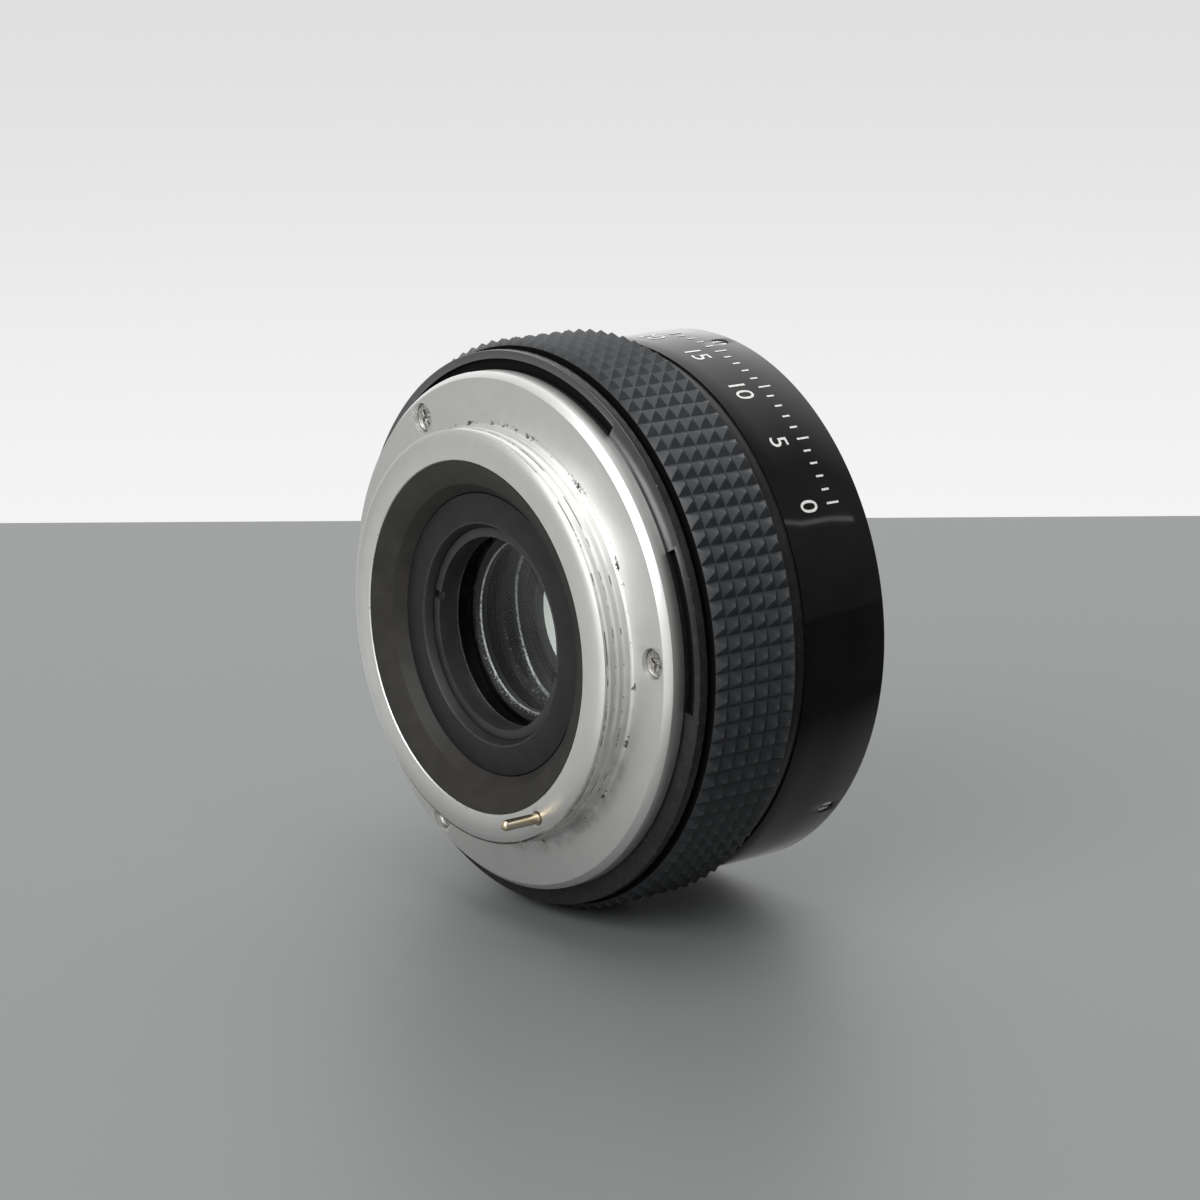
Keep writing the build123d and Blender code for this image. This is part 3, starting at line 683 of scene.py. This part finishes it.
def makeBaffle():
    s = baffle
    kneeRadius, kneeY = s["knee"]
    boreRadius, boreY = s["bore"]
    shoulderRear, shoulderFront = s["shoulderY"]
    outline = [
        (s["rim"], s["rimRear"]), (kneeRadius, kneeY), (boreRadius, boreY),
        (boreRadius, boreY + s["thickness"]), (kneeRadius, kneeY + s["thickness"]),
        (s["shoulder"], shoulderRear), (s["shoulder"], shoulderFront), (s["rim"], shoulderFront),
    ]
    piece = turned("rearBaffle", outline, s["sides"])
    softEdges(piece, *s["soft"])
    return piece


dress(makeBaffle(), "dish", ["rear_light_baffle"])

cell = {
    "flange": 14.33, "flangeFront": 0.58, "tube": 13.4, "tubeFront": 7.6, "neck": 12.4, "front": 17.3,
    "thread": 10.78, "frontSeat": 15.63, "bore": 10.45, "rearSeat": 1.73, "threadRear": -0.76,
    "mouth": 11.3, "mouthRear": -1.60, "rear": -1.42, "sides": 256, "soft": (0.04, 2, 20),
}


def makeLensCell():
    s = cell
    outline = [
        (s["flange"], s["rear"]), (s["flange"], s["flangeFront"]), (s["tube"], s["flangeFront"]),
        (s["tube"], s["tubeFront"]), (s["neck"], s["tubeFront"]), (s["neck"], s["front"]),
        (s["thread"], s["front"]), (s["thread"], s["frontSeat"]), (s["bore"], s["frontSeat"]),
        (s["bore"], s["rearSeat"]), (s["thread"], s["rearSeat"]), (s["thread"], s["threadRear"]),
        (s["mouth"], s["mouthRear"]),
    ]
    piece = turned("lensCell", outline, s["sides"])
    softEdges(piece, *s["soft"])
    return piece


dress(makeLensCell(), "cell", ["lens_cell"])

retaining = {
    "outer": 10.75, "notch": 0.9, "notchLength": 3, "notchDepth": 0.5, "notchAngles": (168, 348),
    "sides": 192, "soft": (0.08, 2, 30),
    # bore, rear, front, and the face that is notched
    "rearRetainingRing": (9.82, -0.63, 1.73, -0.63), "frontRetainingRing": (9.4, 15.63, 16.93, 16.93),
}


def makeRetainingRing(name):
    s = retaining
    bore, rear, front, notchFace = s[name]
    piece = turned(name, [(bore, rear), (s["outer"], rear), (s["outer"], front), (bore, front)], s["sides"])
    for angle in s["notchAngles"]:
        x, z = around((bore + s["outer"]) / 2, angle)
        size = (s["notchLength"], 2 * s["notchDepth"], s["notch"])
        cutBlock(piece, "notch", size, (x, notchFace, z), -angle)
    softEdges(piece, *s["soft"])
    return piece


dress(makeRetainingRing("rearRetainingRing"), "ring", ["rear_retaining_ring"])
dress(makeRetainingRing("frontRetainingRing"), "ring", ["front_retaining_ring"])

spacer = {
    "outer": 10.4, "bevel": 0.7, "sides": 192, "soft": (0.06, 2, 30),
    "rearSpacer": (9.0, 4.63, 6.23), "frontSpacer": (8.9, 9.63, 11.53),  # bore, rear, front
}


def makeSpacer(name):
    s = spacer
    bore, rear, front = s[name]
    outline = [(s["outer"], rear), (s["outer"], front), (bore, front), (bore, rear + s["bevel"]),
               (bore + s["bevel"], rear)]
    piece = turned(name, outline, s["sides"])
    softEdges(piece, *s["soft"])
    return piece


dress(makeSpacer("rearSpacer"), "wornAndGlintRing", ["rear_spacer_ring"])
dress(makeSpacer("frontSpacer"), "wornAndGlintRing", ["front_spacer_ring"])
print("rings done")


# glass

glass = {
    "rim": 10.4, "steps": 14, "sides": 128,
    # for the rear and the front face: y of its flat rim, bulge along y, and radius
    "rearLens": ((1.73, 0.5, 10.0), (4.63, 1.2, 8.8)),
    "middleLens": ((6.23, 0.9, 8.8), (9.63, -1.1, 8.8)),
    "doubletRearLens": ((11.53, -0.9, 8.8), (13.03, 1.1, 8.8)),
    "doubletFrontLens": ((13.03, 1.1, 8.8), (15.63, 0.3, 8.8)),
}


def lensFace(rimY, bulge, radius):
    # points of a spherical face, from the optical axis to its flat rim
    ball = (radius ** 2 + bulge ** 2) / (2 * abs(bulge))
    points = []
    for i in range(glass["steps"] + 1):
        r = radius * i / glass["steps"]
        rise = sqrt(ball ** 2 - r ** 2) - sqrt(ball ** 2 - radius ** 2)
        points.append((r, rimY + rise * (1 if bulge > 0 else -1)))
    return points


def makeGlass(name):
    s = glass
    rear, front = s[name]
    rims = [(s["rim"], rear[0]), (s["rim"], front[0])]
    return turned(name, lensFace(*rear) + rims + lensFace(*front)[::-1], s["sides"])


dress(makeGlass("rearLens"), "glass", ["rear_lens"])
dress(makeGlass("middleLens"), "glass", ["middle_lens"])
dress(makeGlass("doubletRearLens"), "glass", ["doublet_rear_lens"])
dress(makeGlass("doubletFrontLens"), "glass", ["doublet_front_lens"])


# main body with the rear lip and its arc recesses

rods = {"circle": 18.2, "angle": 3.3}  # where the three push rods run, in their bushes and springs

body = {
    "lip": 28.24, "lipRear": 2.40, "lipFront": 3.4, "seat": 27.3, "step": 27.8, "gripFront": 14.2,
    "barrelRear": 16.05, "spigot": 26.15, "spigotFront": 18.5, "sides": 320, "soft": (0.07, 2, 30),
    "flangeSeat": 26.31, "flangeSeatY": 2.11, "room": 22.65, "roomFront": 2.96, "rearBore": 21.4,
    "frontBore": 24.6, "webRear": 8.6, "webFront": 10.2, "hub": 14.9, "hubRear": 7.6, "hubFront": 11.4,
    "cellBore": 12.42,
    "recessRadii": (26.27, 27.4), "recessY": (1.5, 3.0), "recesses": ((57, 147), (-6.7, 27.5), (193, 228)),
    "spinStep": 1.5,  # degrees
    "tapped": (0.97, 0, 6.95), "bushSeat": (1.52, 7, 11),  # radius, from, to
}


def arcBlock(fromAngle, toAngle):
    # a small plane between two radii is spun about the optical axis
    inner, outer = body["recessRadii"]
    rear, front = body["recessY"]
    deselect()
    bpy.ops.mesh.primitive_plane_add(
        size=1, location=((inner + outer) / 2 * mm, (rear + front) / 2 * mm, 0))
    bpy.context.object.scale = ((outer - inner) * mm, (front - rear) * mm, 1)
    piece = added("arcBlock")
    piece.rotation_euler = (0, -radians(fromAngle), 0)
    bpy.ops.object.transform_apply(rotation=True)
    editAll(piece)
    bpy.ops.mesh.spin(steps=int((toAngle - fromAngle) / body["spinStep"]),
                      angle=radians(toAngle - fromAngle), center=(0, 0, 0), axis=(0, 1, 0))
    bpy.ops.object.mode_set(mode="OBJECT")
    closeUp(piece)
    return piece


def makeBody():
    s = body
    outline = [
        (s["room"], s["flangeSeatY"]), (s["flangeSeat"], s["flangeSeatY"]), (s["flangeSeat"], s["lipRear"]),
        (s["lip"], s["lipRear"]), (s["lip"], s["lipFront"]), (s["seat"], s["lipFront"]),
        (s["seat"], s["gripFront"]), (s["step"], s["gripFront"]), (s["step"], s["barrelRear"]),
        (s["spigot"], s["barrelRear"]), (s["spigot"], s["spigotFront"]), (s["frontBore"], s["spigotFront"]),
        (s["frontBore"], s["webFront"]), (s["hub"], s["webFront"]), (s["hub"], s["hubFront"]),
        (s["cellBore"], s["hubFront"]), (s["cellBore"], s["hubRear"]), (s["hub"], s["hubRear"]),
        (s["hub"], s["webRear"]), (s["rearBore"], s["webRear"]), (s["rearBore"], s["roomFront"]),
        (s["room"], s["roomFront"]),
    ]
    piece = turned("mainBody", outline, s["sides"])
    softEdges(piece, *s["soft"])
    for fromAngle, toAngle in s["recesses"]:
        cut(piece, arcBlock(fromAngle, toAngle))
    for angle in thirds(flange["screwAngle"]):
        cut(piece, rod("tapped", *s["tapped"], around(flange["screwCircle"], angle), 24))
    for angle in thirds(rods["angle"]):
        cut(piece, rod("bushSeat", *s["bushSeat"], around(rods["circle"], angle), 32))
    mergeClosePoints(piece)
    return piece


dress(makeBody(), "body", ["main_body"])


# rubber grip: one quad for each pyramid, poked up to its tip

grip = {
    "teeth": 102, "rows": 6, "rear": 4.1, "front": 14.2, "valley": 28.5, "tip": 29.3, "bore": 27.32,
    "soft": (0.06, 2, 25),
}


def makeGrip():
    s = grip
    pitch = (s["front"] - s["rear"]) / s["rows"]
    rows = [(s["valley"], s["rear"] + pitch * i) for i in range(s["rows"] + 1)]
    piece = turned("rubberGrip", rows + [(s["bore"], s["front"]), (s["bore"], s["rear"])], s["teeth"])
    pick(piece)
    bpy.ops.object.mode_set(mode="EDIT")
    bpy.ops.mesh.select_mode(type="FACE")
    bpy.ops.mesh.select_all(action="DESELECT")
    bpy.ops.object.mode_set(mode="OBJECT")
    # only the faces of the knurled skin, not the two ends or the bore
    for face in piece.data.polygons:
        centre = face.center / mm
        face.select = hypot(centre.x, centre.z) > s["valley"] - 0.1 and abs(face.normal.y) < 0.1
    bpy.ops.object.mode_set(mode="EDIT")
    bpy.ops.mesh.poke(offset=(s["tip"] - s["valley"] * cos(pi / s["teeth"])) * mm)
    bpy.ops.object.mode_set(mode="OBJECT")
    softEdges(piece, *s["soft"])
    return piece


dress(makeGrip(), "grip", ["rubber_grip"], smoothAngle=25)


# outer barrel

barrel = {
    "radius": 27.955, "rear": 16.05, "front": 26.35, "bore": 26.2, "sides": 384, "soft": (0.18, 3, 40),
    "sideRings": (18.0, 21.7),  # shorter faces round the set screws' holes
    "ridge": 25.2, "ridgeRear": 18.52, "ridgeFront": 20.42,
}

setScrew = {
    "radius": 0.8, "play": 0.05, "y": 24.5, "angle": -39.3, "inner": 25.435, "outer": 27.86,
    "slotWidth": 0.32, "slotDepth": 0.45, "slotLength": 2, "soft": (0.08, 3, 40),
    "barrelHole": (25.5, 30), "mountSeat": (25.4, 28),  # from and to which radius each is cut
}


def cutScrewHoles(piece, name, inner, outer):
    s = setScrew
    for angle in thirds(s["angle"]):
        cut(piece, spoke(name, s["radius"] + s["play"], inner, outer, s["y"], angle))


def makeBarrel():
    s = barrel
    outline = [(s["bore"], s["rear"]), (s["radius"], s["rear"])]
    outline += [(s["radius"], y) for y in s["sideRings"]]
    outline += [
        (s["radius"], s["front"]), (s["bore"], s["front"]), (s["bore"], s["ridgeFront"]),
        (s["ridge"], s["ridgeFront"]), (s["ridge"], s["ridgeRear"]), (s["bore"], s["ridgeRear"]),
    ]
    piece = turned("outerBarrel", outline, s["sides"])
    cutScrewHoles(piece, "setScrewHole", *setScrew["barrelHole"])
    softEdges(piece, *s["soft"])
    return piece


dress(makeBarrel(), "barrel", ["outer_barrel"], smoothAngle=40)


# numerals and ticks on the barrel

marks = {
    "words": ("20", "15", "10", "5", "0"), "first": 91, "spacing": 15, "rear": 18.65,
    "height": 2.15, "heightPerSize": 0.72, "extrude": 0.01, "raised": 0.02,
    "tickWidth": 0.22, "tickThickness": 0.02, "tickLong": 1.5, "tickShort": 0.9, "tickRear": 22.0,
    "ticksApart": 5,  # steps from one numeral to the next
}


def wrapped(piece, angle):
    # flat on xy in millimetres, x along the rim and y towards the front, laid round the barrel
    for vertex in piece.data.vertices:
        along, forward, out = vertex.co
        turn = radians(angle) - along / barrel["radius"]
        r = barrel["radius"] + marks["raised"] * (2 if out > 0 else 1)
        vertex.co = Vector((r * cos(turn), forward, r * sin(turn))) * mm
    closeUp(piece)
    return piece


def makeNumber(word, angle):
    s = marks
    deselect()
    bpy.ops.object.text_add()
    letters = bpy.context.object.data
    letters.body = word
    letters.size = s["height"] / s["heightPerSize"]
    letters.align_x = "CENTER"
    letters.extrude = s["extrude"]
    letters.resolution_u = 4
    bpy.ops.object.convert(target="MESH")
    piece = bpy.context.object
    for vertex in piece.data.vertices:
        vertex.co.y += s["rear"]
    return wrapped(piece, angle)


def makeTick(angle, length):
    s = marks
    deselect()
    bpy.ops.mesh.primitive_cube_add(size=1, location=(0, s["tickRear"] + length / 2, 0))
    bpy.context.object.scale = (s["tickWidth"], length, s["tickThickness"])
    return wrapped(added("tick"), angle)


def makeMarks():
    s = marks
    pieces = []
    for i, word in enumerate(s["words"]):
        angle = s["first"] - s["spacing"] * i
        pieces += [makeNumber(word, angle), makeTick(angle, s["tickLong"])]
        if i < len(s["words"]) - 1:
            pieces += [makeTick(angle - s["spacing"] * k / s["ticksApart"], s["tickShort"])
                       for k in range(1, s["ticksApart"])]
    return joined("barrelMarks", pieces)


dress(makeMarks(), "mark", [])


# slotted set screws

def makeSetScrew(angle):
    s = setScrew
    piece = spoke("setScrew", s["radius"], s["inner"], s["outer"], s["y"], angle)
    x, z = around(s["outer"], angle)
    size = (2 * s["slotDepth"], s["slotLength"], s["slotWidth"])
    cutBlock(piece, "screwdriverSlot", size, (x, s["y"], z), -angle)
    softEdges(piece, *s["soft"])
    return piece


setScrews = [makeSetScrew(angle) for angle in thirds(setScrew["angle"])]
dress(joined("barrelSetScrews", setScrews), "screw", ["barrel_set_screws"])


# front mount ring with its female thread

frontMount = {
    "outer": 26.15, "rear": 20.44, "stepY": 26.25, "face": 25.0, "front": 26.65, "entry": 21.1,
    "relief": 21.3, "minor": 20.459, "threadRear": 22.0, "threadFront": 26.009, "threadRings": 52,
    "threadDepth": 0.5, "threadLead": -0.3, "sides": 320, "soft": (0.05, 2, 30),
}


def makeFrontMount():
    s = frontMount
    run = s["threadFront"] - s["threadRear"]
    crests = [(s["minor"], s["threadFront"] - run * i / s["threadRings"])
              for i in range(s["threadRings"] + 1)]
    outline = [
        (s["relief"], s["rear"]), (s["outer"], s["rear"]), (s["outer"], s["stepY"]),
        (s["face"], s["stepY"]), (s["face"], s["front"]), (s["entry"], s["front"]),
    ] + crests + [(s["relief"], s["threadRear"])]
    piece = turned("frontMountRing", outline, s["sides"])
    cutScrewHoles(piece, "setScrewSeat", *setScrew["mountSeat"])
    softEdges(piece, *s["soft"])
    cutThread(piece, s["minor"], s["threadRear"] + s["threadLead"], s["threadFront"], s["threadDepth"])
    return piece


dress(makeFrontMount(), "aluminium", ["front_mount_ring"])


# return springs round the push rods

springs = {
    "wire": 0.15, "wireSides": 10, "coil": 1.25, "turns": 4.5, "turnSteps": 24, "rear": 3.33, "front": 7.83,
}


def makeSpring(angle):
    s = springs
    steps = int(s["turnSteps"] * s["turns"])
    deselect()
    bpy.ops.mesh.primitive_circle_add(
        vertices=s["wireSides"], radius=s["wire"] * mm, location=(s["coil"] * mm, s["rear"] * mm, 0))
    piece = added("returnSpring")
    applied(piece, "SCREW", axis="Y", angle=2 * pi * s["turns"], screw_offset=(s["front"] - s["rear"]) * mm,
            steps=steps, render_steps=steps, use_merge_vertices=False)
    # the wire's two ends are closed
    bpy.ops.object.mode_set(mode="EDIT")
    bpy.ops.mesh.select_all(action="DESELECT")
    bpy.ops.mesh.select_non_manifold()
    bpy.ops.mesh.edge_face_add()
    bpy.ops.mesh.select_all(action="SELECT")
    bpy.ops.mesh.normals_make_consistent(inside=False)
    bpy.ops.object.mode_set(mode="OBJECT")
    return movedTo(piece, *around(rods["circle"], angle))


springPiece = joined("returnSprings", [makeSpring(angle) for angle in thirds(rods["angle"])])
dress(springPiece, "spring", ["return_springs"])
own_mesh(springPiece)


# nodes that keep their shape

kept = {
    "pin_bush": "brass", "transfer_ring": "steel", "push_rods": "steel", "rod_clips": "steel",
    "rod_bushes": "brass", "pusher_ring": "blackSteel", "cell_lock_ring": "ring",
}
for node, finish in kept.items():
    paint(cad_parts[node], finish)
print("kept nodes painted:", len(kept))


# floor, light and camera, in metres, but zones on the floor in millimetres

ground = {
    "height": (-grip["tip"] * cos(pi / grip["teeth"]) - 0.01) * mm, "size": 8.0,
    "farEdge": 0.186, "facing": -36.6,  # how far behind the object it ends, and its turn
    "colour": rgb(0.158, 0.170, 0.167), "shade": rgb(0.172, 0.184, 0.181),
    # what the metal sees of it, with painted shade and light: near (a painted shade under the object), pale
    # and far by distance, then the front (a painted bright patch) and the right (painted shade)
    "near": rgb(0.16, 0.165, 0.165), "pale": rgb(0.50, 0.51, 0.50), "far": rgb(0.33, 0.34, 0.33),
    "nearToPale": (15, 85), "paleToFar": (105, 150),
    "front": rgb(0.88, 0.87, 0.86), "frontX": (20, 60), "frontY": (-50, -80),
    "right": rgb(0.06, 0.062, 0.06), "rightX": (25, 55), "rightY": (-50, -10),
}


def makeFloor():
    s = ground
    out = s["size"] / 2 - s["farEdge"]
    turn = radians(s["facing"])
    deselect()
    bpy.ops.mesh.primitive_plane_add(
        size=s["size"], rotation=(0, 0, turn), location=(out * cos(turn), out * sin(turn), s["height"]))
    floor = added("paleFloor")
    f = Finish("paleFloorFinish", {"Roughness": 0.5})
    away = (f.x * f.x + f.y * f.y) ** 0.5
    # painted shade near the object and on the right, and a painted bright patch in front, for reflections
    # only
    reflectedFloorAndPaintedLight = f.mix(away.step(*s["nearToPale"]), s["near"], s["pale"])
    reflectedFloorAndPaintedLight = f.mix(away.step(*s["paleToFar"]), reflectedFloorAndPaintedLight, s["far"])
    reflectedFloorAndPaintedLight = f.mix(f.x.step(*s["frontX"]) * f.y.step(*s["frontY"]), reflectedFloorAndPaintedLight, s["front"])
    reflectedFloorAndPaintedLight = f.mix(f.x.step(*s["rightX"]) * f.y.step(*s["rightY"]), reflectedFloorAndPaintedLight, s["right"])
    seen = f.node("ShaderNodeLightPath", out="Is Camera Ray")
    f.put("Base Color", f.mix(seen, reflectedFloorAndPaintedLight, f.mix(f.noise(0.004, 2.0), s["colour"], s["shade"])))
    floor.data.materials.append(f.material)


class Sky(Finish):
    # the world's nodes, with the direction of a ray in place of a point
    def __init__(self, world):
        world.use_nodes = True
        self.tree = world.node_tree
        self.shader = self.tree.nodes["Background"]
        self.ray = self.node("ShaderNodeTexCoord", out="Generated")
        self.up = self.node("ShaderNodeSeparateXYZ", sockets={0: self.ray}, out="Z")


surroundings = {
    "backdropHigh": rgb(0.74, 0.74, 0.74), "backdropLow": rgb(0.92, 0.915, 0.915), "fadeUp": (-0.23, -0.06),
    "dim": 0.24, "above": 0.15, "aboveUp": (0.0, 0.6),
    "bright": 1.15, "brightSide": (-0.62, 0.60, 0.50), "brightSpread": (0.5, 0.97),
}


def makeWorld():
    s = surroundings
    world = bpy.data.worlds.new("softWorld")
    bpy.context.scene.world = world
    sky = Sky(world)
    side = Vector(s["brightSide"]).normalized()
    toBright = sky.node(
        "ShaderNodeVectorMath", {"operation": "DOT_PRODUCT"}, {0: sky.ray, 1: side}, out="Value")
    light = toBright.step(*s["brightSpread"]) * s["bright"]
    light = light + sky.up.step(*s["aboveUp"]) * s["above"] + s["dim"]
    lit = sky.mix(light.least(1.0), rgb(0, 0, 0), rgb(1, 1, 1))
    backdrop = sky.mix(sky.up.step(*s["fadeUp"]), s["backdropLow"], s["backdropHigh"])
    seen = sky.node("ShaderNodeLightPath", out="Is Camera Ray")
    sky.put("Color", sky.mix(seen, lit, backdrop))
    sky.put("Strength", 1.0 + (light - 1.0).most(0.0) * (1.0 - seen))


# place, width, height and power
lamps = {
    "keyAboveCamera": ((0.30, -0.80, 0.62), 0.9, 0.7, 8.7),
    "overhead": ((0.05, 0.0, 1.1), 0.7, 0.7, 3.7),
    "cardFrontLeft": ((-0.19, -0.14, 0.035), 0.16, 0.11, 0.012),
    "thinStrip": ((0.63, 0.59, 0.507), 0.025, 0.5, 0.10),
}
middle = Vector((0, 0.01, 0))  # what every lamp points at


def softbox(name, place, width, height, power):
    bpy.ops.object.light_add(type="AREA", location=place)
    lamp = bpy.context.object
    lamp.name = name
    lamp.data.shape = "RECTANGLE"
    lamp.data.size = width
    lamp.data.size_y = height
    lamp.data.energy = power
    lamp.rotation_euler = (middle - lamp.location).to_track_quat("-Z", "Y").to_euler()
    return lamp


def makeLamps():
    for name, values in lamps.items():
        lamp = softbox(name, *values)
    # the last one is the strip, whose long side lies along the optical axis
    outwards = (lamp.location - middle).normalized()
    across = Vector((0, 1, 0)).cross(outwards).normalized()
    lamp.rotation_euler = Matrix((across, outwards.cross(across), outwards)).transposed().to_euler()


view = {
    "place": (0.286006, -0.212594, 0.089886), "turn": (76.35, 0, 51.79),
    "lens": 109.74, "sensor": 36, "nearest": 0.01, "farthest": 20,
}


def makeCamera():
    s = view
    bpy.ops.object.camera_add(location=s["place"], rotation=[radians(turn) for turn in s["turn"]])
    camera = bpy.context.object
    camera.name = "photoCamera"
    camera.data.sensor_width = s["sensor"]
    camera.data.lens = s["lens"]
    camera.data.clip_start = s["nearest"]
    camera.data.clip_end = s["farthest"]
    bpy.context.scene.camera = camera


makeFloor()
makeWorld()
makeLamps()
makeCamera()
bpy.context.scene.view_settings.view_transform = "Standard"
print("stage, light and camera ready")
